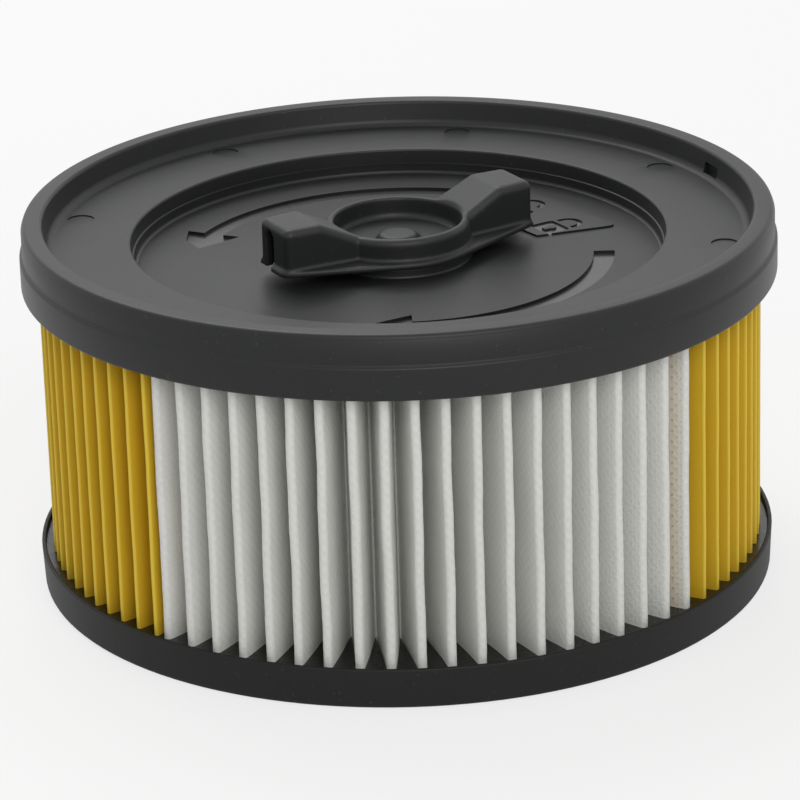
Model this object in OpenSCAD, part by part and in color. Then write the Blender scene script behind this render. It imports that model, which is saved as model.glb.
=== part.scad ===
// Pleated cartridge filter for a wet and dry vacuum cleaner, stood on its open end.
// Millimetres. Origin at the centre of the bottom face, +Z up, -Y towards the photo's camera.

/* [Cartridge] */
// Outer diameter of the lid, the widest part
lid_d = 190; // [180:1:205]
// Height of the lid's lip above the surface it stands on
lip_h = 95; // [86:1:125]
// Wall of the moulded plastic parts
wall_t = 2.2; // [1.8:0.1:2.6]

/* [Lid] */
// How far the outer skirt hangs below the lip
skirt_drop = 16.1; // [15:0.1:20]
// Height of the wider band at the bottom of the skirt
band_h = 7.7; // [5:0.1:8.5]
// How much narrower the upper band is on the radius
band_step = 0.7; // [0.3:0.1:1.0]
// Depth of the round shelf below the lip
shelf_drop = 6.7; // [5:0.1:7.5]
// Depth of the dish floor below the lip
dish_drop = 13.2; // [12.4:0.1:13.8]
// Diameter of the dish at its rim
dish_d = 134.2; // [130:0.1:136]
// Width of the lip, seen from above
lip_w = 5.4; // [4.8:0.1:6]
// Ejector marks around the shelf
ejector_n = 8; // [4:1:12]
// Angle of the first ejector mark
ejector_a = -11.7; // [-45:0.1:45]

/* [Knob] */
// Angle of the knob in the lid, counted from +X
knob_a = 29.2; // [20:0.1:40]
// Quarter turn that the knob makes
knob_travel = 90; // [60:1:90]
// Length over both wings
wing_len = 71; // [66:0.5:76]
// Height of the wings above the lip
wing_up = 1.8; // [0:0.1:3]
// Width of a wing at its end
wing_end_w = 14.6; // [13:0.1:16]
// Width of a wing where it meets the cup
wing_root_w = 17.8; // [16:0.1:19]
// Length of the flat top at each wing's end
wing_flat = 9; // [7:0.5:11]
// Rounding of the wings
wing_round = 2; // [1:0.1:2.4]
// Diameter of the cup between the wings
cup_d = 32.2; // [30:0.1:33]
// Height of the cup's rim below the lip
cup_drop = 3.1; // [2.5:0.1:4]
// Thickness of the cup's rim
cup_rim = 2.2; // [1.8:0.1:2.6]
// Thickness of the base plate
plate_t = 1.6; // [1.2:0.1:2.0]
// Half width of the base plate in the middle
plate_mid = 19.8; // [19:0.1:21]
// Width of the slot in each wing's end
slot_w = 3.9; // [3:0.1:4.5]
// Radial gap of the stem in the hub
stem_gap = 0.08; // [0.05:0.01:0.10]

/* [Pleats] */
// Folds of white fleece, all on the front
fleece_n = 20; // [12:1:24]
// Angle between two fleece folds
fleece_pitch = 4.71; // [4.4:0.01:5]
// Middle of the fleece, counted from the front
fleece_mid = 3.9; // [-10:0.1:10]
// Folds of yellow paper round the rest
paper_n = 68; // [60:1:76]
// Radius of the outer fold tips
fold_r = 90.8; // [89:0.1:91]
// Thickness of the folded medium
medium_t = 0.75; // [0.5:0.05:0.9]
// How far the folds lean over, at the inner tips
fold_lean = 1.2; // [0:0.1:2]

/* [Cage] */
// Bars of the inner support cage
cage_bars = 24; // [16:1:32]
// Hoops of the cage between its two end hoops
cage_hoops = 3; // [1:1:5]
// Width of a bar
bar_w = 3.6; // [2.5:0.1:5]
// Wall of the cage
cage_t = 1.5; // [1.2:0.1:1.6]

/* [Base ring] */
// Outer diameter of the base ring
ring_d = 187.6; // [185:0.1:188]
// Height of the base ring
ring_h = 10.3; // [9:0.1:13]
// Bore that slips over the motor's float cage
bore_d = 133.8; // [130:0.1:134]
// Thin outer rim around the resin
ring_rim = 1.1; // [0.9:0.1:1.3]
// Floor of the base ring
ring_floor = 2.4; // [2:0.1:3]
// How far the resin stays below the rim
resin_drop = 1.3; // [1:0.1:2]

/* [Hidden] */
$fn = 96;
e = 0.01;

// Lid heights and radii
lid_r = lid_d/2;
up_r = lid_r - band_step;
skirt_z = lip_h - skirt_drop;
shoulder_z = skirt_z + band_h;
shelf_z = lip_h - shelf_drop;
dish_z = lip_h - dish_drop;
dish_r = dish_d/2;
trough_z = shelf_z - wall_t;
under_z = dish_z - wall_t;
spigot_r = dish_r + wall_t - 0.1;
skirt_in = lid_r - wall_t - 0.3;
rim_in = up_r - lip_w;
mark_at = rim_in - 6.5;

// Hub and the stem that turns in it
stem_r = 16;
hub_r = stem_r + stem_gap;
boss_r = 18.2;
boss_z = dish_z + 2.6;
collar_r = hub_r + 2.9;
collar_z = under_z - 9;
lug_w = 18;
lug_z = collar_z + 2.4;
lug_h = 4;
lug_out = 1.7;
stop_gap = 0.6;
lug_gap = 0.4;
groove_z = under_z - 1;

// Knob heights
plate_z = boss_z + 0.2;
plate_top = plate_z + plate_t;
wing_z = lip_h + wing_up;
cup_z = lip_h - cup_drop;
cup_r = cup_d/2;
cup_floor = plate_top + 0.1;
cup_out = cup_r + cup_rim;
crease_x = wing_len/2 - wing_flat;
slope = (wing_z - cup_z - 0.2)/(crease_x - cup_r);
plate_end = wing_len/2 + 1.1;

// Pleats and what holds them
cage_in = spigot_r + 0.2;
cage_out = cage_in + cage_t;
fold_in = cage_out + 0.2;
fold_deep = 1.2;
ring_r = ring_d/2;
bore_r = bore_d/2;
ring_wall = 1.7;
resin_z = ring_h - resin_drop;
fold_z0 = ring_floor + 1;
fold_z1 = trough_z - 1.1;
pot_z = skirt_z + 1.7;
pot_gap = 0.02;
fleece_a0 = fleece_mid - (fleece_n - 1)*fleece_pitch/2;
fleece_a1 = fleece_mid + (fleece_n - 1)*fleece_pitch/2;
join_l = 1.1;
join_r = 2.4;
foot_gap = 0.15;
paper_a0 = fleece_a1 + 2*join_r;
paper_a1 = fleece_a0 - 2*join_l + 360;
paper_pitch = (paper_a1 - paper_a0)/(paper_n - 1);

// Colours of the sheet view
black = [0.16, 0.17, 0.17];
black2 = [0.24, 0.25, 0.25];
white = [0.93, 0.93, 0.90];
yellow = [0.95, 0.77, 0.30];
resin = [0.08, 0.08, 0.08];
cage_c = [0.42, 0.43, 0.43];

function arc(x, y, r, a0, a1, n = 6) =
    [for (i = [0:n]) let (a = a0 + (a1 - a0)*i/n) [x + r*cos(a), y + r*sin(a)]];
// A point at radius r whose angle counts from the front, -Y, towards +X
function front(r, a) = [r*sin(a), -r*cos(a)];

// A ring between two radii
module ring(r0, r1, z0, z1) {
    rotate_extrude() translate([r0, z0]) square([r1 - r0, z1 - z0]);
}
// Part of a ring, from angle a0 over an arc
module sector(r0, r1, z0, z1, a0, da) {
    rotate([0, 0, a0]) rotate_extrude(angle = da) translate([r0, z0]) square([r1 - r0, z1 - z0]);
}

// Lid: one moulding with lip, shelf, dish and boss above, hub collar and trough for the pleats below
function lid_outline() = concat(
    [[hub_r, collar_z], [hub_r, boss_z - 0.4], [hub_r + 0.4, boss_z]],
    arc(boss_r - 0.6, boss_z - 0.6, 0.6, 90, 0, 4),
    arc(boss_r + 0.8, dish_z + 0.8, 0.8, 180, 270, 4),
    arc(dish_r - 0.6 - 0.9, dish_z + 0.9, 0.9, 270, 360, 4),
    [[dish_r - 0.6, dish_z + 2.7], [dish_r - 0.2, dish_z + 2.9]],
    arc(dish_r + 0.6, shelf_z - 0.6, 0.6, 180, 90, 5),
    arc(rim_in - 0.6 - 2.1, shelf_z + 2.1, 2.1, 270, 352, 6),
    arc(rim_in + 1.0, lip_h - 1.0, 1.0, 172, 90, 6),
    arc(up_r - 0.2 - 1.3, lip_h - 1.3, 1.3, 90, 0, 6),
    [[up_r, lip_h - 1.6]],
    [[up_r, shoulder_z + 1.1]],
    arc(lid_r - 0.7, shoulder_z, 0.7, 60, 0, 4),
    arc(lid_r - 0.8, skirt_z + 0.8, 0.8, 0, -90, 5),
    [[skirt_in + 0.5, skirt_z], [skirt_in, skirt_z + 2.5], [skirt_in - 0.2, lip_h - 2.6],
     [rim_in + wall_t, lip_h - 2.6], [rim_in + wall_t - 0.2, trough_z]],
    [[spigot_r, trough_z], [spigot_r, under_z + 0.6], [spigot_r - 0.6, under_z]],
    [[collar_r + 0.8, under_z], [collar_r, under_z - 0.8], [collar_r, collar_z]]);

module end_cap() {
    color(black)
    difference() {
        union() {
            rotate_extrude() polygon(lid_outline());
            // ribs under the dish, between the collar and the spigot
            for (i = [0:7]) rotate([0, 0, 22.5 + 45*i])
                translate([collar_r - 0.5, -0.8, under_z - 3])
                    cube([spigot_r - 3 - collar_r, 1.6, 3.2]);
        }
        // ejector marks
        for (i = [0:ejector_n - 1]) rotate([0, 0, ejector_a + i*360/ejector_n])
            translate([mark_at, 0, shelf_z - 0.3]) cylinder(r = 3.4, h = 1);
        // small moulding notch at the foot of the lip's inner wall
        sector(rim_in - 1, rim_in + 0.5, shelf_z + 0.6, shelf_z + 3.6, 20.6, 4.6);
        // windows in the collar where the knob's two lugs run, their ends are the stops
        for (s = [0, 180])
            sector(hub_r - 1, collar_r + 1, lug_z - lug_gap, lug_z + lug_h + lug_gap,
                   knob_a + 90 + s - lug_w/2 - stop_gap, lug_w + knob_travel + 2*stop_gap);
    }
}

// Knob: wings, cup, base plate and split stem in one moulding
function tangent_a() = let (c = [plate_end - 3, wing_end_w/2 - 2.6])
    atan2(c[1], c[0]) + acos((plate_mid - 3)/norm(c));
function plate_quarter() = let (t = tangent_a(), c = [plate_end - 3, wing_end_w/2 - 2.6])
    concat(arc(c[0], c[1], 3, 0, t, 5), arc(0, 0, plate_mid, t, 90, 5));
function plate_half() = let (q = plate_quarter())
    concat(q, [for (i = [len(q) - 2:-1:0]) [-q[i][0], q[i][1]]]);
function plate_pts() = let (h = plate_half())
    concat(h, [for (p = h) -p]);

module base_plate() {
    translate([0, 0, plate_z]) linear_extrude(plate_t - 0.4) polygon(plate_pts());
    // chamfer round the top edge
    hull() {
        translate([0, 0, plate_top - 0.41]) linear_extrude(0.01) polygon(plate_pts());
        translate([0, 0, plate_top - 0.01]) linear_extrude(0.01)
            polygon([for (p = plate_pts()) [p[0]*(1 - 0.4/plate_end), p[1]*(1 - 0.4/plate_mid)]]);
    }
}

module wing_block() {
    w = wing_round;
    x_end = wing_len/2 - w;
    x_in = cup_r - 4;
    y_end = wing_end_w/2 - w;
    y_in = wing_root_w/2 - w;
    y_crease = y_end + (y_in - y_end)*(x_end - crease_x)/(x_end - x_in);
    z_in = wing_z - slope*(crease_x - x_in) - w*sqrt(1 + slope*slope);
    hull() for (s = [-1, 1]) {
        translate([x_end, s*y_end, wing_z - w]) sphere(r = w, $fn = 24);
        translate([crease_x - w*slope/2, s*y_crease, wing_z - w]) sphere(r = w, $fn = 24);
        translate([x_in, s*y_in, z_in]) sphere(r = w, $fn = 24);
        translate([x_end, s*y_end, plate_z + 0.3]) cylinder(r = w, h = 1, $fn = 24);
        translate([x_in, s*y_in, plate_z + 0.3]) cylinder(r = w, h = 1, $fn = 24);
    }
}

// What is taken out of a wing: the hollow from below, and the slot in its end
module wing_hollow() {
    t = 2.1;
    x0 = cup_out + 1.2;
    x1 = wing_len/2 - t;
    zt = wing_z - t;
    rotate([90, 0, 0]) translate([0, 0, -(wing_end_w/2 - t)]) linear_extrude(wing_end_w - 2*t)
        polygon([[x0, plate_z - 1], [x1, plate_z - 1], [x1, zt], [crease_x - 0.5, zt],
                 [x0, zt - slope*(crease_x - x0)]]);
    translate([x1 - 1, -slot_w, plate_z - 1]) cube([5, slot_w, zt - plate_z - 1]);
    translate([x1 - 1, -slot_w/2, zt - slot_w/2 - 0.2]) rotate([0, 90, 0]) cylinder(r = slot_w/2, h = 5);
    translate([wing_len/2, -12, plate_z - 1]) cube([3, 12, 2 + plate_t]);
}

function knob_outline() = concat(
    [[0, plate_z], [stem_r - 2.4, plate_z], [stem_r - 2.4, collar_z - 0.4], [stem_r - 0.6, collar_z - 0.4],
     [stem_r, collar_z + 0.4], [stem_r, plate_z], [cup_out, plate_z]],
    arc(cup_out - 1.7, cup_z - 1.7, 1.7, 0, 90, 6),
    [[0, cup_z]]);
function cup_outline() = concat(
    [[0, cup_floor + 1.6]],
    arc(3.9, cup_floor + 0.4, 1.2, 90, 20, 4),
    [[5.6, cup_floor]],
    arc(cup_r - 1.5, cup_floor + 1.5, 1.5, -90, 0, 5),
    [[cup_r, cup_z - 0.4], [cup_r + 0.4, cup_z], [cup_r + 0.4, cup_z + 9], [0, cup_z + 9]]);

module twist_knob() {
    color(black2)
    rotate([0, 0, knob_a]) difference() {
        union() {
            rotate_extrude() polygon(knob_outline());
            base_plate();
            for (s = [0, 180]) rotate([0, 0, s]) {
                wing_block();
                // snap lug on a sprung finger of the stem
                sector(stem_r - 1, stem_r + lug_out, lug_z, lug_z + lug_h, 90 - lug_w/2, lug_w);
            }
        }
        rotate_extrude() polygon(cup_outline());
        for (s = [0, 180]) rotate([0, 0, s]) {
            wing_hollow();
            for (b = [-1, 1]) rotate([0, 0, 90 + b*(lug_w/2 + 4)])
                translate([stem_r - 4, -0.7, collar_z - 2]) cube([6, 1.4, under_z - collar_z]);
            // bayonet groove inside the stem for the motor head's stud: up, then round a quarter turn
            sector(stem_r - 5, stem_r - 1.2, collar_z - 2, groove_z + 2.4, -5, 10);
            sector(stem_r - 5, stem_r - 1.2, groove_z, groove_z + 2.4, -5, knob_travel + 10);
        }
    }
}

// Folded medium: outline of the sheet seen from above, with real thickness. g widens it by a gap.
function tip_w(g) = medium_t + g;
function fold_out(a, g) = let (w = tip_w(g), d = w/fold_r*57.3)
    [front(fold_r - 0.35 + g, a - d), front(fold_r + g, a - d*0.5), front(fold_r + g, a + d*0.5),
     front(fold_r - 0.35 + g, a + d)];
function fold_out_back(a, g) = let (d = max(0.02, 0.12 - g)/fold_r*57.3)
    [front(fold_r - fold_deep - g, a + d), front(fold_r - fold_deep - g, a - d)];
function fold_low(a, g) = let (d = max(0.02, 0.12 - g)/fold_in*57.3)
    [front(fold_in + fold_deep + g, a - d - fold_lean), front(fold_in + fold_deep + g, a + d - fold_lean)];
function fold_low_back(a, g) = let (d = tip_w(g)/fold_in*57.3)
    [front(fold_in + 0.3 - g, a + d - fold_lean), front(fold_in - g, a - fold_lean),
     front(fold_in + 0.3 - g, a - d - fold_lean)];

// Where a sheet stops, at the foot of its last flank; side is +1 at its start and -1 at its end
function foot_out(a, side, g) = front(fold_in + 0.6 + g, a - fold_lean + side*foot_gap);
function foot_in(a, side, g) =
    front(fold_in - g, a - fold_lean + side*(foot_gap + tip_w(g)/fold_in*57.3));

// n folds from angle a0, with the inner folds between them; e0 and e1 are where the sheet stops
function sheet_pts(n, a0, pitch, e0, e1, g) = concat(
    [foot_out(e0, 1, g)],
    [for (i = [0:n - 1]) each concat(fold_out(a0 + i*pitch, g),
        i < n - 1 ? fold_low(a0 + (i + 0.5)*pitch, g) : [])],
    [foot_out(e1, -1, g), foot_in(e1, -1, g)],
    [for (i = [n - 1:-1:0]) each concat(fold_out_back(a0 + i*pitch, g),
        i > 0 ? fold_low_back(a0 + (i - 0.5)*pitch, g) : [])],
    [foot_in(e0, 1, g)]);

module fleece_2d(g) {
    polygon(sheet_pts(fleece_n, fleece_a0, fleece_pitch, fleece_a0 - join_l, fleece_a1 + join_r, g));
}
module paper_2d(g) {
    polygon(sheet_pts(paper_n, paper_a0, paper_pitch, paper_a0 - join_r, paper_a1 + join_l, g));
}

module fleece_pleats() {
    color(white) translate([0, 0, fold_z0]) linear_extrude(fold_z1 - fold_z0) fleece_2d(0);
}

module paper_pleats() {
    color(yellow) translate([0, 0, fold_z0]) linear_extrude(fold_z1 - fold_z0) paper_2d(0);
}

// Inner cage that holds the folds off the float cage
module support_cage() {
    z0 = resin_z + 3;
    z1 = pot_z - 3;
    rows = cage_hoops + 1;
    hoop_h = 3;
    step = (z1 - z0 + hoop_h)/rows;
    color(cage_c)
    difference() {
        ring(cage_in, cage_out, fold_z0, fold_z1);
        for (i = [0:cage_bars - 1], k = [0:rows - 1])
            sector(cage_in - 1, cage_out + 1, z0 + k*step, z0 + (k + 1)*step - hoop_h,
                   i*360/cage_bars, 360/cage_bars - bar_w/cage_out*57.3);
    }
}

// Outer outline of all the folds together, widened by a gap
function folds_loop(g) = concat(
    [front(fold_in + fold_deep + g, fleece_a0 - join_l - fold_lean)],
    [for (i = [0:fleece_n - 1]) each concat(fold_out(fleece_a0 + i*fleece_pitch, g),
        i < fleece_n - 1 ? fold_low(fleece_a0 + (i + 0.5)*fleece_pitch, g) : [])],
    [front(fold_in + fold_deep + g, fleece_a1 + join_r - fold_lean)],
    [for (i = [0:paper_n - 1]) each concat(fold_out(paper_a0 + i*paper_pitch, g),
        i < paper_n - 1 ? fold_low(paper_a0 + (i + 0.5)*paper_pitch, g) : [])]);

// A bed of resin that fills the valleys round the folds
module resin_bed(r1, z0, z1) {
    difference() {
        translate([0, 0, z0]) cylinder(r = r1, h = z1 - z0);
        translate([0, 0, z0 - 1]) linear_extrude(z1 - z0 + 2) polygon(folds_loop(pot_gap));
    }
}

// Cast resin that seals the folds into the lid
module upper_potting() {
    color(resin) {
        ring(spigot_r + 0.05, skirt_in - 0.3, fold_z1, trough_z);
        resin_bed(skirt_in - 0.3, pot_z, fold_z1 + e);
    }
}

// Cast resin that seals the folds into the base ring
module lower_potting() {
    color(resin) {
        ring(bore_r + ring_wall + 0.02, ring_r - ring_rim - 0.02, ring_floor, fold_z0);
        ring(bore_r + ring_wall + 0.02, cage_in - 0.02, fold_z0 - e, resin_z - 0.4);
        resin_bed(ring_r - ring_rim - 0.02, fold_z0 - e, resin_z);
    }
}

// Base ring: channel for the resin, with the bore and the flat sealing face
function ring_outline() = concat(
    arc(bore_r + 0.8, 0.8, 0.8, 180, 270, 4),
    arc(ring_r - 0.4 - 1.0, 1.0, 1.0, 270, 360, 5),
    arc(ring_r - 0.45, ring_h - 0.45, 0.45, 0, 90, 4),
    arc(ring_r - ring_rim + 0.35, ring_h - 0.35, 0.35, 90, 180, 4),
    [[ring_r - ring_rim, ring_floor], [bore_r + ring_wall, ring_floor]],
    arc(bore_r + ring_wall - 0.5, resin_z + 0.1, 0.5, 0, 90, 4),
    arc(bore_r + 0.5, resin_z + 0.1, 0.5, 90, 180, 4));

module base_ring() {
    color(black) rotate_extrude() polygon(ring_outline());
}

end_cap();
twist_knob();
fleece_pleats();
paper_pleats();
support_cage();
upper_potting();
lower_potting();
base_ring();
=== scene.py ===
"""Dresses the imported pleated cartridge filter: lid, twist knob, folded media, resin, cage and base ring."""

from __future__ import annotations

import logging
import math
import random
from dataclasses import dataclass, field
from enum import Enum

import bmesh
import bpy
from mathutils import Matrix, Quaternion, Vector

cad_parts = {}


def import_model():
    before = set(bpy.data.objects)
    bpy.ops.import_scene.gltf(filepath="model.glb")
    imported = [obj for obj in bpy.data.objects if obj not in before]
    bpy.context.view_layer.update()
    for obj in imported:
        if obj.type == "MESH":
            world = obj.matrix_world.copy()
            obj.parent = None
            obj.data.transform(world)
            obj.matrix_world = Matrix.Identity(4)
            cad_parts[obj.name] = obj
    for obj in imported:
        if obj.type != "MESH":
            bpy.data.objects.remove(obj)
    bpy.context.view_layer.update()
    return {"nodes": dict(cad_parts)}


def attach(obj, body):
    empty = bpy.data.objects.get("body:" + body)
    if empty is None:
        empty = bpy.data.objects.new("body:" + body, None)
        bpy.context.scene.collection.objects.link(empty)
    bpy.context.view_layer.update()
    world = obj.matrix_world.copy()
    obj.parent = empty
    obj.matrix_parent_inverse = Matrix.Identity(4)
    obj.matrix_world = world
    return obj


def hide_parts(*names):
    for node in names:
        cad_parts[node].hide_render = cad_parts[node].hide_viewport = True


MM = 0.001
CARTRIDGE = "cartridge"
KNOB = "knob"
log = logging.getLogger("filter")

Point2 = tuple[float, float]
Colour = tuple[float, float, float]


# ---------------------------------------------------------------- shader maths


class Sock:
    """A value socket of a node tree. Its operators add Math nodes to that tree."""

    def __init__(self, graph: "Graph", socket: bpy.types.NodeSocket) -> None:
        """Wrap one output socket.

        Args:
            graph: The tree that the socket belongs to.
            socket: The output socket.
        """
        self.graph = graph
        self.socket = socket

    def __add__(self, other: "Sock | float") -> "Sock":
        """Return self + other."""
        return self.graph.math("ADD", self, other)

    def __radd__(self, other: float) -> "Sock":
        """Return other + self."""
        return self.graph.math("ADD", other, self)

    def __sub__(self, other: "Sock | float") -> "Sock":
        """Return self - other."""
        return self.graph.math("SUBTRACT", self, other)

    def __rsub__(self, other: float) -> "Sock":
        """Return other - self."""
        return self.graph.math("SUBTRACT", other, self)

    def __mul__(self, other: "Sock | float") -> "Sock":
        """Return self times other."""
        return self.graph.math("MULTIPLY", self, other)

    def __rmul__(self, other: float) -> "Sock":
        """Return other times self."""
        return self.graph.math("MULTIPLY", other, self)

    def __truediv__(self, other: "Sock | float") -> "Sock":
        """Return self divided by other."""
        return self.graph.math("DIVIDE", self, other)

    def __rtruediv__(self, other: float) -> "Sock":
        """Return other divided by self."""
        return self.graph.math("DIVIDE", other, self)

    def __pow__(self, power: float) -> "Sock":
        """Return self to a power."""
        return self.graph.math("POWER", self, power)

    def cos(self) -> "Sock":
        """Return the cosine of self."""
        return self.graph.math("COSINE", self)

    def ramp(self, low: float, high: float) -> "Sock":
        """Return a smooth step from 0 at low to 1 at high.

        Args:
            low: The value at which the step starts.
            high: The value at which it ends.

        Returns:
            The stepped value, from 0 to 1.
        """
        node = self.graph.node(
            "ShaderNodeMapRange",
            {"interpolation_type": "SMOOTHSTEP"},
            {"Value": self, "From Min": low, "From Max": high},
        )
        return Sock(self.graph, node.outputs["Result"])


Value = Sock | float


class Graph:
    """The node tree of one material or world."""

    def __init__(self, tree: bpy.types.NodeTree) -> None:
        """Keep the tree and empty it.

        Args:
            tree: The node tree to fill.
        """
        self.tree = tree
        self.tree.nodes.clear()

    def node(self, kind: str, settings: dict | None = None, sockets: dict | None = None) -> bpy.types.Node:
        """Add one node.

        Args:
            kind: The node's type, such as ShaderNodeMath.
            settings: Its properties, which are set first. A ramp's stops go under "stops".
            sockets: The values or links of its inputs, by name or by number.

        Returns:
            The new node.
        """
        made = self.tree.nodes.new(kind)
        for name, setting in (settings or {}).items():
            if name == "stops":
                self._stops(made.color_ramp, setting)
            else:
                setattr(made, name, setting)
        for name, value in (sockets or {}).items():
            target = made.inputs[name]
            if isinstance(value, Sock):
                self.tree.links.new(value.socket, target)
            elif isinstance(value, bpy.types.NodeSocket):
                self.tree.links.new(value, target)
            elif isinstance(value, tuple) and len(value) == 3 and target.type == "RGBA":
                target.default_value = (*value, 1.0)
            else:
                target.default_value = value
        return made

    @staticmethod
    def _stops(ramp: bpy.types.ColorRamp, stops: list[tuple[float, Colour]]) -> None:
        """Set a colour ramp's stops."""
        while len(ramp.elements) < len(stops):
            ramp.elements.new(1.0)
        for element, (place, colour) in zip(ramp.elements, stops):
            element.position = place
            element.color = (*colour, 1.0)

    def math(self, operation: str, *values: Value) -> Sock:
        """Add a Math node.

        Args:
            operation: The node's operation.
            values: Its inputs in order.

        Returns:
            The node's output.
        """
        made = self.node("ShaderNodeMath", {"operation": operation}, dict(enumerate(values)))
        return Sock(self, made.outputs[0])

    def mix(self, factor: Value, low: Colour | bpy.types.NodeSocket, high: Colour | bpy.types.NodeSocket) -> bpy.types.NodeSocket:
        """Mix two colours.

        Args:
            factor: 0 gives low and 1 gives high.
            low: The first colour.
            high: The second colour.

        Returns:
            The mixed colour's socket.
        """
        made = self.node("ShaderNodeMix", {"data_type": "RGBA"}, {0: factor, 6: low, 7: high})
        return made.outputs[2]

    def noise(self, scale: float, detail: float = 3.0, vector: bpy.types.NodeSocket | None = None) -> Sock:
        """Add a noise texture in object space.

        Args:
            scale: Cells per metre.
            detail: The number of finer octaves.
            vector: The coordinates, or None for the object's own.

        Returns:
            The noise value, near 0.5 in the middle.
        """
        place = vector or self.node("ShaderNodeTexCoord").outputs["Object"]
        made = self.node("ShaderNodeTexNoise", None, {"Vector": place, "Scale": scale, "Detail": detail})
        return Sock(self, made.outputs[0])

    def axes(self, vector: bpy.types.NodeSocket) -> tuple[Sock, Sock, Sock]:
        """Split a vector.

        Args:
            vector: The vector's socket.

        Returns:
            Its x, y and z.
        """
        made = self.node("ShaderNodeSeparateXYZ", None, {0: vector})
        return Sock(self, made.outputs[0]), Sock(self, made.outputs[1]), Sock(self, made.outputs[2])

    def attribute(self, name: str) -> Sock:
        """Read a number stored on the mesh's points.

        Args:
            name: The attribute's name.

        Returns:
            Its value.
        """
        made = self.node("ShaderNodeAttribute", {"attribute_name": name})
        return Sock(self, made.outputs["Fac"])

    def bump(self, height: Sock, depth: float, strength: float = 1.0) -> bpy.types.NodeSocket:
        """Turn a height into a normal.

        Args:
            height: The height, from 0 to 1.
            depth: What a height of 1 stands for, in metres.
            strength: How strongly it shows.

        Returns:
            The normal's socket.
        """
        made = self.node("ShaderNodeBump", None, {"Strength": strength, "Distance": depth, "Height": height})
        return made.outputs[0]

    def surface(self, sockets: dict) -> None:
        """Finish the tree with one Principled shader.

        Args:
            sockets: The shader's inputs by name.
        """
        shader = self.node("ShaderNodeBsdfPrincipled", None, sockets)
        self.node("ShaderNodeOutputMaterial", None, {"Surface": shader.outputs[0]})


def new_graph(name: str) -> tuple[bpy.types.Material, Graph]:
    """Make a material with an empty tree.

    Args:
        name: The material's name.

    Returns:
        The material and its graph.
    """
    material = bpy.data.materials.new(name)
    material.use_nodes = True
    return material, Graph(material.node_tree)


# ---------------------------------------------------------------- finishes


@dataclass(frozen=True)
class MouldedPlastic:
    """Black moulded plastic with a fine spark-eroded grain."""

    name: str
    tone: Colour = (0.0085, 0.0092, 0.0090)
    roughness: float = 0.42
    grain: float = 0.35
    grain_scale: float = 2600.0
    shine: float = 0.32

    def material(self) -> bpy.types.Material:
        """Build the material.

        Returns:
            The finished material.
        """
        material, g = new_graph(self.name)
        grain = g.noise(self.grain_scale, 2.0)
        cloud = g.noise(28.0, 3.0)
        speck = g.noise(900.0, 1.0).ramp(0.70, 0.78)
        tint = g.mix(cloud, self.tone, tuple(c * 1.7 for c in self.tone))
        dusty = g.mix(speck * 0.35, tint, (0.06, 0.062, 0.060))
        g.surface({
            "Base Color": dusty,
            "Roughness": self.roughness + (cloud - 0.5) * 0.10 + (grain - 0.5) * 0.10,
            "Specular IOR Level": self.shine,
            "Normal": g.bump(grain, 0.05 * MM, self.grain),
        })
        return material


@dataclass(frozen=True)
class PressedFleece:
    """White fleece with pressed diamonds, which lets the paper behind it show where it is stretched."""

    name: str = "pressed_fleece"
    white: Colour = (0.80, 0.81, 0.80)
    shade: Colour = (0.70, 0.70, 0.66)
    behind: Colour = (0.60, 0.44, 0.22)
    dot: Colour = (0.50, 0.30, 0.05)
    cell_w: float = 2.4
    cell_h: float = 2.76

    def material(self) -> bpy.types.Material:
        """Build the material.

        Returns:
            The finished material.
        """
        material, g = new_graph(self.name)
        along = g.attribute("along")
        height = g.attribute("height")
        through = g.attribute("through")
        u = along / self.cell_w
        v = height / self.cell_h
        turn = 2 * math.pi
        rows = ((v + u) * turn).cos()
        cols = ((v - u) * turn).cos()
        dots = (rows + cols).ramp(0.9, 1.8)
        lines = (rows * 0.5 + 0.5) * 0.6 + (cols * 0.5 + 0.5) * 0.4
        fibres = g.noise(1400.0, 4.0)
        cloud = g.noise(60.0, 2.0)
        plain = g.mix(lines * 0.45 + cloud * 0.35, self.shade, self.white)
        seen = g.mix(dots, self.behind, self.dot)
        g.surface({
            "Base Color": g.mix(through * (0.35 + dots * 0.45), plain, seen),
            "Roughness": 0.86 + (fibres - 0.5) * 0.10,
            "Specular IOR Level": 0.25,
            "Sheen Weight": 0.15,
            "Normal": g.bump(lines * 0.6 - dots * 0.5 + fibres * 0.9, 0.16 * MM, 0.75),
        })
        return material


@dataclass(frozen=True)
class FilterPaper:
    """Yellow resin-dipped filter paper, with a painted highlight along the fold crests."""

    name: str = "filter_paper"
    gold: Colour = (0.66, 0.41, 0.012)
    # A paler yellow painted along the crests as a highlight, standing in for light catching the fold edges.
    crest_highlight: Colour = (0.80, 0.62, 0.08)

    def material(self) -> bpy.types.Material:
        """Build the material.

        Returns:
            The finished material.
        """
        material, g = new_graph(self.name)
        pulp = g.noise(900.0, 4.0)
        cloud = g.noise(45.0, 3.0)
        crest = g.attribute("crest")
        flat = g.mix(cloud * 0.5 + pulp * 0.2, self.gold, tuple(c * 0.88 for c in self.gold))
        # Base Color mixes towards the paler yellow where the crest attribute is high: a painted highlight on each
        # fold's edge.
        g.surface({
            "Base Color": g.mix(crest * 0.75, flat, self.crest_highlight),
            "Roughness": 0.68 + (pulp - 0.5) * 0.12,
            "Specular IOR Level": 0.35,
            "Normal": g.bump(pulp, 0.06 * MM, 0.6),
        })
        return material


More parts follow.
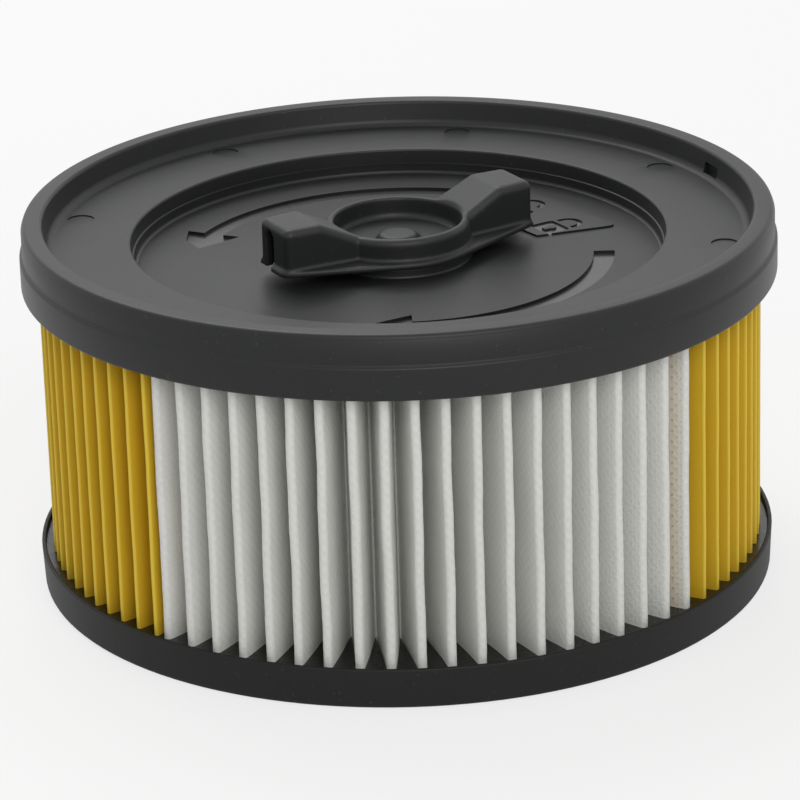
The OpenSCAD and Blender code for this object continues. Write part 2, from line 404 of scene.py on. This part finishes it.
@dataclass(frozen=True)
class CastResin:
    """Glossy black resin poured round the ends of the folds."""

    name: str = "cast_resin"
    tone: Colour = (0.006, 0.0065, 0.006)

    def material(self) -> bpy.types.Material:
        """Build the material.

        Returns:
            The finished material.
        """
        material, g = new_graph(self.name)
        flow = g.noise(190.0, 2.0)
        pits = g.noise(700.0, 2.0)
        g.surface({
            "Base Color": g.mix(pits, self.tone, tuple(c * 2 for c in self.tone)),
            "Roughness": 0.16 + pits * 0.16,
            "Normal": g.bump(flow * 0.8 + pits * 0.2, 0.5 * MM, 0.5),
        })
        return material


# ---------------------------------------------------------------- mesh helpers


def arc(x: float, y: float, r: float, start: float, end: float, steps: int = 8) -> list[Point2]:
    """Return points on an arc.

    Args:
        x: The centre's first coordinate.
        y: The centre's second coordinate.
        r: The radius.
        start: The first angle in degrees.
        end: The last angle in degrees.
        steps: The number of steps.

    Returns:
        The points in order.
    """
    turns = [math.radians(start + (end - start) * i / steps) for i in range(steps + 1)]
    return [(x + r * math.cos(t), y + r * math.sin(t)) for t in turns]


def polar(r: float, degrees: float) -> Point2:
    """Return the point at a radius and an angle from +X."""
    return r * math.cos(math.radians(degrees)), r * math.sin(math.radians(degrees))


def front(r: float, degrees: float) -> Point2:
    """Return the point at a radius and an angle from the front, -Y, towards +X."""
    return r * math.sin(math.radians(degrees)), -r * math.cos(math.radians(degrees))


def to_object(name: str, bm: bmesh.types.BMesh, sharp: float = 34.0) -> bpy.types.Object:
    """Turn a bmesh in millimetres into an object in metres, smooth except at sharp edges.

    Args:
        name: The object's name.
        bm: The mesh, which is freed.
        sharp: Edges that turn by more degrees than this stay sharp.

    Returns:
        The linked object.
    """
    bmesh.ops.recalc_face_normals(bm, faces=bm.faces)
    mesh = bpy.data.meshes.new(name)
    bm.to_mesh(mesh)
    bm.free()
    mesh.transform(Matrix.Scale(MM, 4))
    smooth(mesh, sharp)
    made = bpy.data.objects.new(name, mesh)
    bpy.context.scene.collection.objects.link(made)
    return made


def smooth(mesh: bpy.types.Mesh, sharp: float) -> None:
    """Shade a mesh smooth, with sharp edges above an angle.

    Args:
        mesh: The mesh.
        sharp: The angle in degrees.
    """
    mesh.polygons.foreach_set("use_smooth", [True] * len(mesh.polygons))
    mesh.set_sharp_from_angle(angle=math.radians(sharp))
    mesh.update()


def lathe(profile: list[Point2], steps: int) -> bmesh.types.BMesh:
    """Turn a closed profile of (radius, height) round the vertical axis.

    Args:
        profile: The profile's points in order.
        steps: The number of steps round the axis.

    Returns:
        A closed mesh.
    """
    bm = bmesh.new()
    rings = []
    for i in range(steps):
        t = 2 * math.pi * i / steps
        rings.append([bm.verts.new((r * math.cos(t), r * math.sin(t), z)) for r, z in profile])
    count = len(profile)
    for i in range(steps):
        a, b = rings[i], rings[(i + 1) % steps]
        for k in range(count):
            m = (k + 1) % count
            bm.faces.new((a[k], b[k], b[m], a[m]))
    return bm


def prism(bm: bmesh.types.BMesh, outline: list[Point2], low: float, high: float) -> None:
    """Add an upright prism to a mesh.

    Args:
        bm: The mesh that gets it.
        outline: The outline seen from above.
        low: The height of its bottom.
        high: The height of its top.
    """
    bottom = [bm.verts.new((x, y, low)) for x, y in outline]
    top = [bm.verts.new((x, y, high)) for x, y in outline]
    bm.faces.new(bottom[::-1])
    bm.faces.new(top)
    for i in range(len(outline)):
        k = (i + 1) % len(outline)
        bm.faces.new((bottom[i], bottom[k], top[k], top[i]))


def sector(r0: float, r1: float, start: float, arc_deg: float, steps: int = 24) -> list[Point2]:
    """Return the outline of a part of a ring.

    Args:
        r0: The inner radius.
        r1: The outer radius.
        start: The first angle in degrees.
        arc_deg: The arc that it covers.
        steps: The number of steps along the arc.

    Returns:
        The outline's points.
    """
    return arc(0, 0, r0, start, start + arc_deg, steps) + arc(0, 0, r1, start + arc_deg, start, steps)


class Cut(Enum):
    """How one solid changes another."""

    ADD = "UNION"
    TAKE = "DIFFERENCE"


def carve(target: bpy.types.Object, tools: bmesh.types.BMesh, how: Cut) -> None:
    """Add solids to an object or take them out of it.

    Args:
        target: The object that changes.
        tools: The solids in millimetres, which are used up.
        how: Whether they are added or taken out.
    """
    other = to_object("tool", tools)
    step = target.modifiers.new("cut", "BOOLEAN")
    step.operation = how.value
    step.solver = "EXACT"
    step.object = other
    graph = bpy.context.evaluated_depsgraph_get()
    mesh = bpy.data.meshes.new_from_object(target.evaluated_get(graph))
    target.modifiers.clear()
    old, target.data = target.data, mesh
    bpy.data.meshes.remove(old)
    used = other.data
    bpy.data.objects.remove(other)
    bpy.data.meshes.remove(used)


def set_number(mesh: bpy.types.Mesh, name: str, values: list[float]) -> None:
    """Store one number on each point of a mesh.

    Args:
        mesh: The mesh.
        name: The attribute's name.
        values: One value for each point.
    """
    mesh.attributes.new(name, "FLOAT", "POINT").data.foreach_set("value", values)


def dress(obj: bpy.types.Object, *materials: bpy.types.Material) -> bpy.types.Object:
    """Give an object its materials in order and return it."""
    obj.data.materials.clear()
    for material in materials:
        obj.data.materials.append(material)
    return obj


def report(obj: bpy.types.Object) -> None:
    """Log a piece's name and its number of faces."""
    log.info("%s: %d faces", obj.name, len(obj.data.polygons))


# ---------------------------------------------------------------- lid


@dataclass
class SignField:
    """The two turning arrows and the padlock panel in the dish."""

    floor: float
    depth: float = 0.8
    shaft_r: float = 49.0
    shaft_w: float = 5.3
    shaft_arc: float = 86.0
    barb: float = 4.6
    head_arc: float = 12.4
    open_tail: float = 70.5
    lock_tail: float = -1.2
    panel_from: float = 17.4
    panel_arc: float = 35.6
    panel_in: float = 37.0
    panel_out: float = 58.3
    panel_h: float = 0.45
    lock_depth: float = 0.40
    lock_at: float = 46.8
    closed_a: float = 24.4
    open_a: float = 45.4

    def arrow(self, tail: float, side: int) -> list[Point2]:
        """Return a curved arrow's outline.

        Args:
            tail: The angle of its tail in degrees.
            side: +1 where it points counter-clockwise, -1 clockwise.

        Returns:
            The outline's points.
        """
        r0, r1 = self.shaft_r, self.shaft_r + self.shaft_w
        neck = tail + side * self.shaft_arc
        inner = arc(0, 0, r0, tail, neck - side * 0.5, 40)
        outer = arc(0, 0, r1, neck - side * 0.5, tail, 40)
        head = [
            polar(r0 - self.barb, neck - side * 0.6),
            polar(r0 - 1.6, neck + side * self.head_arc * 0.5),
            polar((r0 + r1) / 2, neck + side * self.head_arc),
            polar(r1 + 2.4, neck + side * self.head_arc * 0.5),
            polar(r1 + self.barb, neck - side * 0.6),
        ]
        return inner + head + outer

    def panel(self) -> list[Point2]:
        """Return the panel's outline with round outer corners."""
        corner = 1.8
        start, end = self.panel_from, self.panel_from + self.panel_arc
        turn = math.degrees(corner / self.panel_out)
        outline = [polar(self.panel_in, end), polar(self.panel_in, start)]
        for at, first in ((start, -90.0), (end, 0.0)):
            side = 1 if at == start else -1
            x, y = polar(self.panel_out - corner, at + side * turn)
            outline += arc(x, y, corner, at + first, at + first + 90, 5)
        return outline

    def _placed(self, at: float, outline: list[Point2]) -> list[Point2]:
        """Turn and move a padlock's outline to its place, with its shackle towards the rim."""
        tilt = math.radians(at + 7.0)
        x0, y0 = polar(self.lock_at, at)
        return [
            (x0 + x * math.cos(tilt) - y * math.sin(tilt), y0 + x * math.sin(tilt) + y * math.cos(tilt))
            for x, y in outline
        ]

    def padlock(self, bm: bmesh.types.BMesh, at: float, lift: float) -> None:
        """Add a padlock's grooves to a mesh of cutters.

        Args:
            bm: The mesh of cutters.
            at: The padlock's angle in degrees.
            lift: How far the shackle is raised.
        """
        top = self.floor + 3
        low = self.floor + self.panel_h - self.lock_depth
        w, back, face = 4.2, -8.0, -1.0
        body = (
            arc(back + 1, -w + 1, 1, 180, 270, 3) + arc(face - 1, -w + 1, 1, 270, 360, 3)
            + arc(face - 1, w - 1, 1, 0, 90, 3) + arc(back + 1, w - 1, 1, 90, 180, 3)
        )
        key = arc(-3.9, 0, 1.25, 140, -140, 12) + [(-6.4, -0.8), (-6.4, 0.8)]
        ring = (
            [(lift, 3.7)] + arc(lift + 1.2, 0, 3.7, 90, -90, 16) + [(lift, -3.7), (lift, -2.3)]
            + arc(lift + 1.2, 0, 2.3, -90, 90, 12) + [(lift, 2.3)]
        )
        cut = 0.55
        prism(bm, self._placed(at, body[:]), low, top)
        prism(bm, self._placed(at, ring), low, top)
        self.keys.append((self._placed(at, key), low, low + cut))

    def __post_init__(self) -> None:
        """Start the list of keyholes that stand in the padlocks."""
        self.keys: list[tuple[list[Point2], float, float]] = []

    def cutters(self) -> bmesh.types.BMesh:
        """Return the solids that are taken out of the lid.

        Returns:
            Both arrows and both padlocks.
        """
        bm = bmesh.new()
        for tail, side in ((self.open_tail, 1), (self.lock_tail, -1)):
            prism(bm, self.arrow(tail, side), self.floor - self.depth, self.floor + 2)
        self.padlock(bm, self.closed_a, 0.0)
        self.padlock(bm, self.open_a, 2.0)
        return bm


@dataclass
class Lid:
    """The lid: lip, shelf, dish, hub and the trough that the folds are set in."""

    radius: float = 95.0
    top: float = 95.0
    skirt: float = 78.9
    band_h: float = 7.7
    band_step: float = 0.7
    shelf: float = 88.3
    dish: float = 81.8
    dish_r: float = 67.1
    lip_w: float = 5.4
    wall: float = 2.2
    hub_r: float = 16.08
    boss_r: float = 18.2
    boss: float = 84.4
    collar: float = 70.6
    collar_r: float = 18.98
    mark_n: int = 8
    mark_a: float = -11.7
    knob_a: float = 29.2
    steps: int = 240
    plastic: MouldedPlastic = field(default_factory=lambda: MouldedPlastic("lid_plastic"))
    # The sign floors' plastic: its lower roughness is real, and its lighter tone is a painted sheen standing for
    # the backdrop they mirror.
    polished_painted_sheen: MouldedPlastic = field(
        default_factory=lambda: MouldedPlastic("sign_plastic_painted_sheen", (0.022, 0.023, 0.022), 0.24, 0.10, 2600.0, 0.5)
    )

    def profile(self) -> list[Point2]:
        """Return the lid's section, as (radius, height) points.

        Returns:
            The closed profile.
        """
        up, rim = self.radius - self.band_step, self.radius - self.band_step - self.lip_w
        shoulder = self.skirt + self.band_h
        under, trough = self.dish - self.wall, self.shelf - self.wall
        inside, spigot = self.radius - self.wall - 0.3, self.dish_r + self.wall - 0.1
        return (
            [(self.hub_r, self.collar), (self.hub_r, self.boss - 0.4), (self.hub_r + 0.4, self.boss)]
            + arc(self.boss_r - 0.6, self.boss - 0.6, 0.6, 90, 0, 5)
            + arc(self.boss_r + 0.8, self.dish + 0.8, 0.8, 180, 270, 5)
            + arc(self.dish_r - 1.5, self.dish + 0.9, 0.9, 270, 360, 7)
            + [(self.dish_r - 0.6, self.dish + 2.7), (self.dish_r - 0.2, self.dish + 2.9)]
            + arc(self.dish_r + 0.6, self.shelf - 0.6, 0.6, 180, 90, 6)
            + arc(rim - 2.7, self.shelf + 2.1, 2.1, 270, 352, 8)
            + arc(rim + 1.0, self.top - 1.0, 1.0, 172, 90, 8)
            + arc(up - 1.5, self.top - 1.3, 1.3, 90, 0, 8)
            + [(up, self.top - 1.6), (up, shoulder + 1.1)]
            + arc(self.radius - 0.7, shoulder, 0.7, 60, 0, 5)
            + arc(self.radius - 0.8, self.skirt + 0.8, 0.8, 0, -90, 6)
            + [(inside + 0.5, self.skirt), (inside, self.skirt + 2.5), (inside - 0.2, self.top - 2.6)]
            + [(rim + self.wall, self.top - 2.6), (rim + self.wall - 0.2, trough)]
            + [(spigot, trough), (spigot, under + 0.6), (spigot - 0.6, under)]
            + [(self.collar_r + 0.8, under), (self.collar_r, under - 0.8), (self.collar_r, self.collar)]
        )

    def additions(self, signs: SignField) -> bmesh.types.BMesh:
        """Return the padlock panel and the ribs under the dish.

        Args:
            signs: The signs in the dish.

        Returns:
            The solids that are added to the lid.
        """
        bm = bmesh.new()
        prism(bm, signs.panel(), self.dish - 0.6, self.dish + signs.panel_h)
        under = self.dish - self.wall
        for i in range(8):
            turn = math.radians(22.5 + 45 * i)
            x0, x1, half = self.collar_r - 0.5, self.dish_r + self.wall - 3.6, 0.8
            box = [(x0, -half), (x1, -half), (x1, half), (x0, half)]
            spun = [
                (x * math.cos(turn) - y * math.sin(turn), x * math.sin(turn) + y * math.cos(turn))
                for x, y in box
            ]
            prism(bm, spun, under - 3.0, under + 0.4)
        return bm

    def cutters(self, signs: SignField) -> bmesh.types.BMesh:
        """Return what is taken out of the lid.

        Args:
            signs: The signs in the dish.

        Returns:
            The signs, the ejector marks, the notch and the windows of the hub's collar.
        """
        bm = signs.cutters()
        rim = self.radius - self.band_step - self.lip_w
        for i in range(self.mark_n):
            x, y = polar(rim - 6.5, self.mark_a + i * 360 / self.mark_n)
            prism(bm, arc(x, y, 3.4, 0, 345, 23), self.shelf - 0.3, self.shelf + 1)
        prism(bm, sector(rim - 1, rim + 0.5, 20.6, 4.6, 4), self.shelf + 0.6, self.shelf + 3.6)
        for side in (0, 180):
            window = sector(self.hub_r - 1, self.collar_r + 1, self.knob_a + 90 + side - 9.6, 109.2, 24)
            prism(bm, window, 72.6, 77.4)
        return bm

    def build(self) -> bpy.types.Object:
        """Build the lid and ride it on the cartridge.

        Returns:
            The lid.
        """
        signs = SignField(self.dish)
        lid = to_object("lid", lathe(self.profile(), self.steps))
        carve(lid, self.additions(signs), Cut.ADD)
        carve(lid, self.cutters(signs), Cut.TAKE)
        smooth(lid.data, 34.0)
        dress(lid, self.plastic.material(), self.polished_painted_sheen.material())
        # The sign and padlock floors take slot 1, the glossier plastic whose lighter tone is painted sheen.
        low = (self.dish - signs.depth) * MM
        lock = (self.dish + signs.panel_h - signs.lock_depth) * MM
        for face in lid.data.polygons:
            level = face.center.z
            flat = face.normal.z > 0.9 and face.center.xy.length > 30 * MM
            if flat and min(abs(level - low), abs(level - lock)) < 0.02 * MM:
                face.material_index = 1
        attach(lid, CARTRIDGE)
        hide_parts("end_cap")
        self.keyholes(signs, lid.data.materials[0])
        return lid

    def keyholes(self, signs: SignField, plastic: bpy.types.Material) -> None:
        """Build the small keyhole islands that stand in the padlocks.

        Args:
            signs: The signs in the dish.
            plastic: The lid's plastic.
        """
        bm = bmesh.new()
        for outline, low, high in signs.keys:
            prism(bm, outline, low - 0.2, high - 0.1)
        islands = dress(to_object("keyholes", bm), plastic)
        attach(islands, CARTRIDGE)
        report(islands)


# ---------------------------------------------------------------- knob


@dataclass
class TwistKnob:
    """The winged knob with its cup, base plate and split stem."""

    grid: float = 0.40
    rounds: int = 5
    plastic: MouldedPlastic = field(
        default_factory=lambda: MouldedPlastic("knob_plastic", (0.0105, 0.0115, 0.0112), 0.46, 0.45, 2600.0, 0.34)
    )

    def build(self, node: bpy.types.Object) -> bpy.types.Object:
        """Round the edges of the solid knob, as moulded ones are.

        Args:
            node: The solid knob.

        Returns:
            The knob with rounded edges.
        """
        knob = bpy.data.objects.new("knob_body", node.data.copy())
        bpy.context.scene.collection.objects.link(knob)
        remesh = knob.modifiers.new("grid", "REMESH")
        remesh.mode = "VOXEL"
        remesh.voxel_size = self.grid * MM
        soften = knob.modifiers.new("soften", "SMOOTH")
        soften.factor = 0.5
        soften.iterations = self.rounds
        graph = bpy.context.evaluated_depsgraph_get()
        mesh = bpy.data.meshes.new_from_object(knob.evaluated_get(graph))
        knob.modifiers.clear()
        knob.data = mesh
        smooth(mesh, 60.0)
        dress(knob, self.plastic.material())
        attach(knob, KNOB)
        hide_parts("twist_knob")
        return knob


# ---------------------------------------------------------------- folded media


@dataclass
class FoldedMedium:
    """A sheet folded round the cage: the white fleece at the front or the yellow paper round the rest."""

    name: str
    node: str
    slot: str
    folds: int
    first: float
    pitch: float
    start: float
    end: float
    thickness: float
    tip: float
    ripple: float
    sway: float
    seed: int
    through: bool
    out_r: float = 90.8
    in_r: float = 71.1
    lean: float = 1.2
    foot_gap: float = 0.15
    low: float = 3.4
    high: float = 85.0
    rows: int = 26

    def tips(self) -> list[float]:
        """Return the angle of each fold's tip, a little uneven as in a folded sheet.

        Returns:
            The angles from the front in degrees.
        """
        draw = random.Random(self.seed)
        wander = [draw.uniform(-1, 1) for _ in range(self.folds + 2)]
        return [
            self.first + i * self.pitch + 0.055 * self.pitch * (wander[i] + wander[i + 1]) / 2
            for i in range(self.folds)
        ]

    def centreline(self) -> tuple[list[Point2], list[float], list[int]]:
        """Return the sheet's middle line seen from above.

        Returns:
            The points, how much each is a crest from 0 to 1, and the fold that each belongs to.
        """
        half = self.thickness / 2
        tips = self.tips()
        inner = 0.55
        points: list[Point2] = [front(self.in_r + half + 0.1, self.start - self.lean + self.foot_gap + 0.3)]
        crest, owner = [0.0], [0]
        for i, tip in enumerate(tips):
            centre = self.out_r - half - self.tip
            x, y = front(centre, tip)
            turn = tip - 90
            for px, py in arc(x, y, self.tip, turn - 82, turn + 82, 8):
                points.append((px, py))
                crest.append(max(0.0, 1 - abs(math.hypot(px, py) - centre - self.tip) / self.tip))
                owner.append(i)
            if i < self.folds - 1:
                valley = (tip + tips[i + 1]) / 2 - self.lean
                x, y = front(self.in_r + half + inner, valley)
                turn = valley + 90
                for px, py in arc(x, y, inner, turn + 82, turn - 82, 6):
                    points.append((px, py))
                    crest.append(0.0)
                    owner.append(i)
        points.append(front(self.in_r + half + 0.1, self.end - self.lean - self.foot_gap - 0.3))
        crest.append(0.0)
        owner.append(self.folds - 1)
        return self._flanks(points, crest, owner)

    @staticmethod
    def _flanks(points: list[Point2], crest: list[float], owner: list[int]) -> tuple[list[Point2], list[float], list[int]]:
        """Divide the long straight flanks, with a slight belly.

        Args:
            points: The line's points.
            crest: How much each is a crest.
            owner: The fold that each belongs to.

        Returns:
            The same three lists with the flanks divided.
        """
        out_p, out_c, out_o = [points[0]], [crest[0]], [owner[0]]
        for (x0, y0), (x1, y1), c1, o1 in zip(points, points[1:], crest[1:], owner[1:]):
            length = math.hypot(x1 - x0, y1 - y0)
            if length > 5:
                nx, ny = -(y1 - y0) / length, (x1 - x0) / length
                outward = 1 if math.hypot(x1, y1) > math.hypot(x0, y0) else -1
                for k in range(1, 6):
                    t = k / 6
                    belly = 0.16 * math.sin(math.pi * t) * outward
                    out_p.append((x0 + (x1 - x0) * t + nx * belly, y0 + (y1 - y0) * t + ny * belly))
                    out_c.append(0.0)
                    out_o.append(o1)
            out_p.append((x1, y1))
            out_c.append(c1)
            out_o.append(o1)
        return out_p, out_c, out_o

    def wave(self, fold: int, z: float) -> float:
        """Return how far a fold's edge wanders at a height, from -1 to 1.

        Args:
            fold: The fold's number.
            z: The height in millimetres.

        Returns:
            The wander.
        """
        phase = fold * 2.399 + self.seed
        return 0.55 * math.sin(z * 0.115 + phase) + 0.3 * math.sin(z * 0.31 + phase * 1.7) + 0.15 * math.sin(z * 0.9 + phase * 3.1)

    def build(self, material: bpy.types.Material) -> bpy.types.Object:
        """Build the sheet with its real thickness.

        Args:
            material: The sheet's finish.

        Returns:
            The folded sheet.
        """
        line, crest, owner = self.centreline()
        count = len(line)
        normals = []
        for i in range(count):
            (x0, y0), (x1, y1) = line[max(0, i - 1)], line[min(count - 1, i + 1)]
            length = math.hypot(x1 - x0, y1 - y0) or 1.0
            normals.append(((y1 - y0) / length, -(x1 - x0) / length))
        run = [0.0]
        for (x0, y0), (x1, y1) in zip(line, line[1:]):
            run.append(run[-1] + math.hypot(x1 - x0, y1 - y0))
        bm = bmesh.new()
        along, height, crests, through = [], [], [], []
        grid: list[list[list[bmesh.types.BMVert]]] = [[], []]
        span = self.high - self.low
        for side, sign in enumerate((1, -1)):
            for row in range(self.rows + 1):
                z = self.low + span * row / self.rows
                held = max(0.0, math.sin(math.pi * row / self.rows)) ** 0.5
                ring = []
                for i, (x, y) in enumerate(line):
                    nx, ny = normals[i]
                    r = math.hypot(x, y)
                    free = max(0.0, (r - self.in_r) / (self.out_r - self.in_r)) ** 1.5 * held
                    sway = self.sway * self.wave(owner[i], z) * free
                    dip = -self.ripple * (0.5 + 0.5 * self.wave(owner[i] + 7, z * 3.1)) * crest[i] * held
                    tx, ty = -y / r, x / r
                    px = x + nx * sign * self.thickness / 2 + tx * sway + x / r * dip
                    py = y + ny * sign * self.thickness / 2 + ty * sway + y / r * dip
                    ring.append(bm.verts.new((px, py, z)))
                    along.append(run[i])
                    height.append(z)
                    crests.append(crest[i])
                    through.append(self._shows(i, owner, crest, r))
                grid[side].append(ring)
        self._skin(bm, grid, count)
        sheet = to_object(self.name, bm, 50.0)
        for name, values in (("along", along), ("height", height), ("crest", crests), ("through", through)):
            set_number(sheet.data, name, values)
        dress(sheet, material)
        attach(sheet, CARTRIDGE)
        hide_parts(self.node)
        return sheet

    def _shows(self, i: int, owner: list[int], crest: list[float], r: float) -> float:
        """Return how much the paper behind the fleece shows at a point, from 0 to 1."""
        if not self.through or crest[i] > 0.6:
            return 0.0
        last = owner[i] == self.folds - 1
        first = owner[i] == 0
        fade = min(1.0, (self.out_r - 0.6 - r) / 1.2)
        return max(0.0, fade) * (1.0 if last else 0.22 if first else 0.0)

    def _skin(self, bm: bmesh.types.BMesh, grid: list[list[list[bmesh.types.BMVert]]], count: int) -> None:
        """Join both sides of the sheet into one closed skin.

        Args:
            bm: The mesh.
            grid: The points by side, row and place along the line.
            count: The number of places along the line.
        """
        outer, inner = grid
        for row in range(self.rows):
            for i in range(count - 1):
                bm.faces.new((outer[row][i], outer[row][i + 1], outer[row + 1][i + 1], outer[row + 1][i]))
                bm.faces.new((inner[row][i + 1], inner[row][i], inner[row + 1][i], inner[row + 1][i + 1]))
            for i in (0, count - 1):
                bm.faces.new((outer[row][i], outer[row + 1][i], inner[row + 1][i], inner[row][i]))
        for row in (0, self.rows):
            for i in range(count - 1):
                bm.faces.new((outer[row][i], inner[row][i], inner[row][i + 1], outer[row][i + 1]))


@dataclass
class FoldPack:
    """Both folded sheets, and how they share the circle."""

    fleece_n: int = 20
    fleece_pitch: float = 4.71
    fleece_mid: float = 3.9
    paper_n: int = 68
    join_l: float = 1.1
    join_r: float = 2.4

    def build(self) -> list[bpy.types.Object]:
        """Build both sheets.

        Returns:
            The fleece and the paper.
        """
        half = (self.fleece_n - 1) * self.fleece_pitch / 2
        a0, a1 = self.fleece_mid - half, self.fleece_mid + half
        p0, p1 = a1 + 2 * self.join_r, a0 - 2 * self.join_l + 360
        fleece = FoldedMedium(
            "fleece_sheet", "fleece_pleats", "fleece", self.fleece_n, a0, self.fleece_pitch,
            a0 - self.join_l, a1 + self.join_r, 0.62, 0.85, 0.10, 0.22, 5, True,
        )
        paper = FoldedMedium(
            "paper_sheet", "paper_pleats", "paper", self.paper_n, p0, (p1 - p0) / (self.paper_n - 1),
            p0 - self.join_r, p1 + self.join_l, 0.45, 0.38, 0.03, 0.16, 11, False, rows=18,
        )
        return [fleece.build(PressedFleece().material()), paper.build(FilterPaper().material())]


# ---------------------------------------------------------------- plain parts


@dataclass
class PlainParts:
    """The parts whose solids already have the right shape."""

    ring: MouldedPlastic = field(
        default_factory=lambda: MouldedPlastic("ring_plastic", (0.006, 0.0062, 0.006), 0.55, 0.3, 2600.0, 0.25)
    )
    cage: MouldedPlastic = field(
        default_factory=lambda: MouldedPlastic("cage_plastic", (0.03, 0.031, 0.031), 0.5, 0.2, 2200.0, 0.4)
    )
    resin: CastResin = field(default_factory=CastResin)

    def build(self, nodes: dict[str, bpy.types.Object]) -> list[bpy.types.Object]:
        """Give each solid its finish.

        Args:
            nodes: The solids by name.

        Returns:
            The solids that were dressed.
        """
        resin = self.resin.material()
        looks = {
            "base_ring": self.ring.material(),
            "support_cage": self.cage.material(),
            "upper_potting": resin,
            "lower_potting": resin,
        }
        return [dress(nodes[name], look) for name, look in looks.items()]


# ---------------------------------------------------------------- studio


@dataclass
class Studio:
    """Pale floor, soft light and the camera."""

    aim: Vector = field(default_factory=lambda: Vector((-0.78, 0.0, 42.76)) * MM)
    distance: float = 1.07723
    elevation: float = 21.11
    roll: float = -1.73
    lens: float = 190.085

    def floor(self) -> None:
        """Lay a pale floor that keeps the filter's shadow."""
        bm = bmesh.new()
        bmesh.ops.create_grid(bm, x_segments=1, y_segments=1, size=6000)
        ground = to_object("floor", bm)
        ground.location.z = -0.2 * MM
        material, g = new_graph("floor_pale")
        path = g.node("ShaderNodeLightPath")
        seen = g.math("MAXIMUM", Sock(g, path.outputs["Is Camera Ray"]), Sock(g, path.outputs["Is Glossy Ray"]))
        seen = g.math("MAXIMUM", seen, Sock(g, path.outputs["Is Transmission Ray"]))
        matt = g.node("ShaderNodeBsdfDiffuse", None, {"Color": (0.86, 0.86, 0.86)})
        glow = g.node("ShaderNodeEmission", None, {"Color": (1.0, 1.0, 1.0), "Strength": 1.0})
        both = g.node("ShaderNodeMixShader", None, {0: seen * 0.72, 1: matt.outputs[0], 2: glow.outputs[0]})
        g.node("ShaderNodeOutputMaterial", None, {"Surface": both.outputs[0]})
        dress(ground, material)

    def sky(self) -> None:
        """Set a soft even sky, which shows white where it is seen or mirrored."""
        world = bpy.data.worlds.new("soft_sky")
        bpy.context.scene.world = world
        world.use_nodes = True
        g = Graph(world.node_tree)
        path = g.node("ShaderNodeLightPath")
        seen = g.math("MAXIMUM", Sock(g, path.outputs["Is Camera Ray"]), Sock(g, path.outputs["Is Glossy Ray"]))
        seen = g.math("MAXIMUM", seen, Sock(g, path.outputs["Is Transmission Ray"]))
        back = g.node("ShaderNodeBackground", None, {"Color": (1.0, 1.0, 1.0), "Strength": 0.42 + seen * 0.58})
        g.node("ShaderNodeOutputWorld", None, {"Surface": back.outputs[0]})

    def lamp(self, name: str, place: Point2 | tuple[float, float, float], size: float, power: float, colour: Colour) -> None:
        """Hang one square lamp that points at the filter.

        Args:
            name: The lamp's name.
            place: Where it hangs, in metres.
            size: Its edge in metres.
            power: Its power in watts.
            colour: Its colour.
        """
        light = bpy.data.lights.new(name, "AREA")
        light.size, light.energy, light.color = size, power, colour
        made = bpy.data.objects.new(name, light)
        made.location = place
        aim = Vector((0, 0, 0.06)) - Vector(place)
        made.rotation_mode = "QUATERNION"
        made.rotation_quaternion = aim.to_track_quat("-Z", "Y")
        bpy.context.scene.collection.objects.link(made)

    def camera(self) -> None:
        """Place the camera at the photo's angle."""
        data = bpy.data.cameras.new("camera")
        data.lens, data.sensor_width = self.lens, 36.0
        data.clip_start, data.clip_end = 0.05, 30.0
        made = bpy.data.objects.new("camera", data)
        tilt = math.radians(self.elevation)
        back = Vector((0, -math.cos(tilt), math.sin(tilt)))
        made.location = self.aim + back * self.distance
        made.rotation_mode = "QUATERNION"
        roll = Quaternion((0, 0, 1), math.radians(self.roll))
        made.rotation_quaternion = (-back).to_track_quat("-Z", "Y") @ roll
        bpy.context.scene.collection.objects.link(made)
        bpy.context.scene.camera = made

    def build(self) -> None:
        """Build the floor, the sky, the lamps and the camera."""
        self.camera()
        self.floor()
        self.sky()
        self.lamp("top_lamp", (-0.25, 0.75, 1.25), 0.9, 9.0, (1.0, 1.0, 1.0))
        self.lamp("front_lamp", (0.35, -1.5, 1.05), 1.1, 12.0, (1.0, 0.99, 0.97))
        bpy.context.scene.view_settings.view_transform = "Standard"


def main() -> None:
    """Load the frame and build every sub-assembly."""
    logging.basicConfig(level=logging.INFO, format="%(name)s %(message)s")
    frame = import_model()
    Studio().build()
    made = [Lid().build(), TwistKnob().build(frame["nodes"]["twist_knob"])]
    made += FoldPack().build()
    made += PlainParts().build(frame["nodes"])
    for piece in made:
        report(piece)


if __name__ == "__main__":
    main()
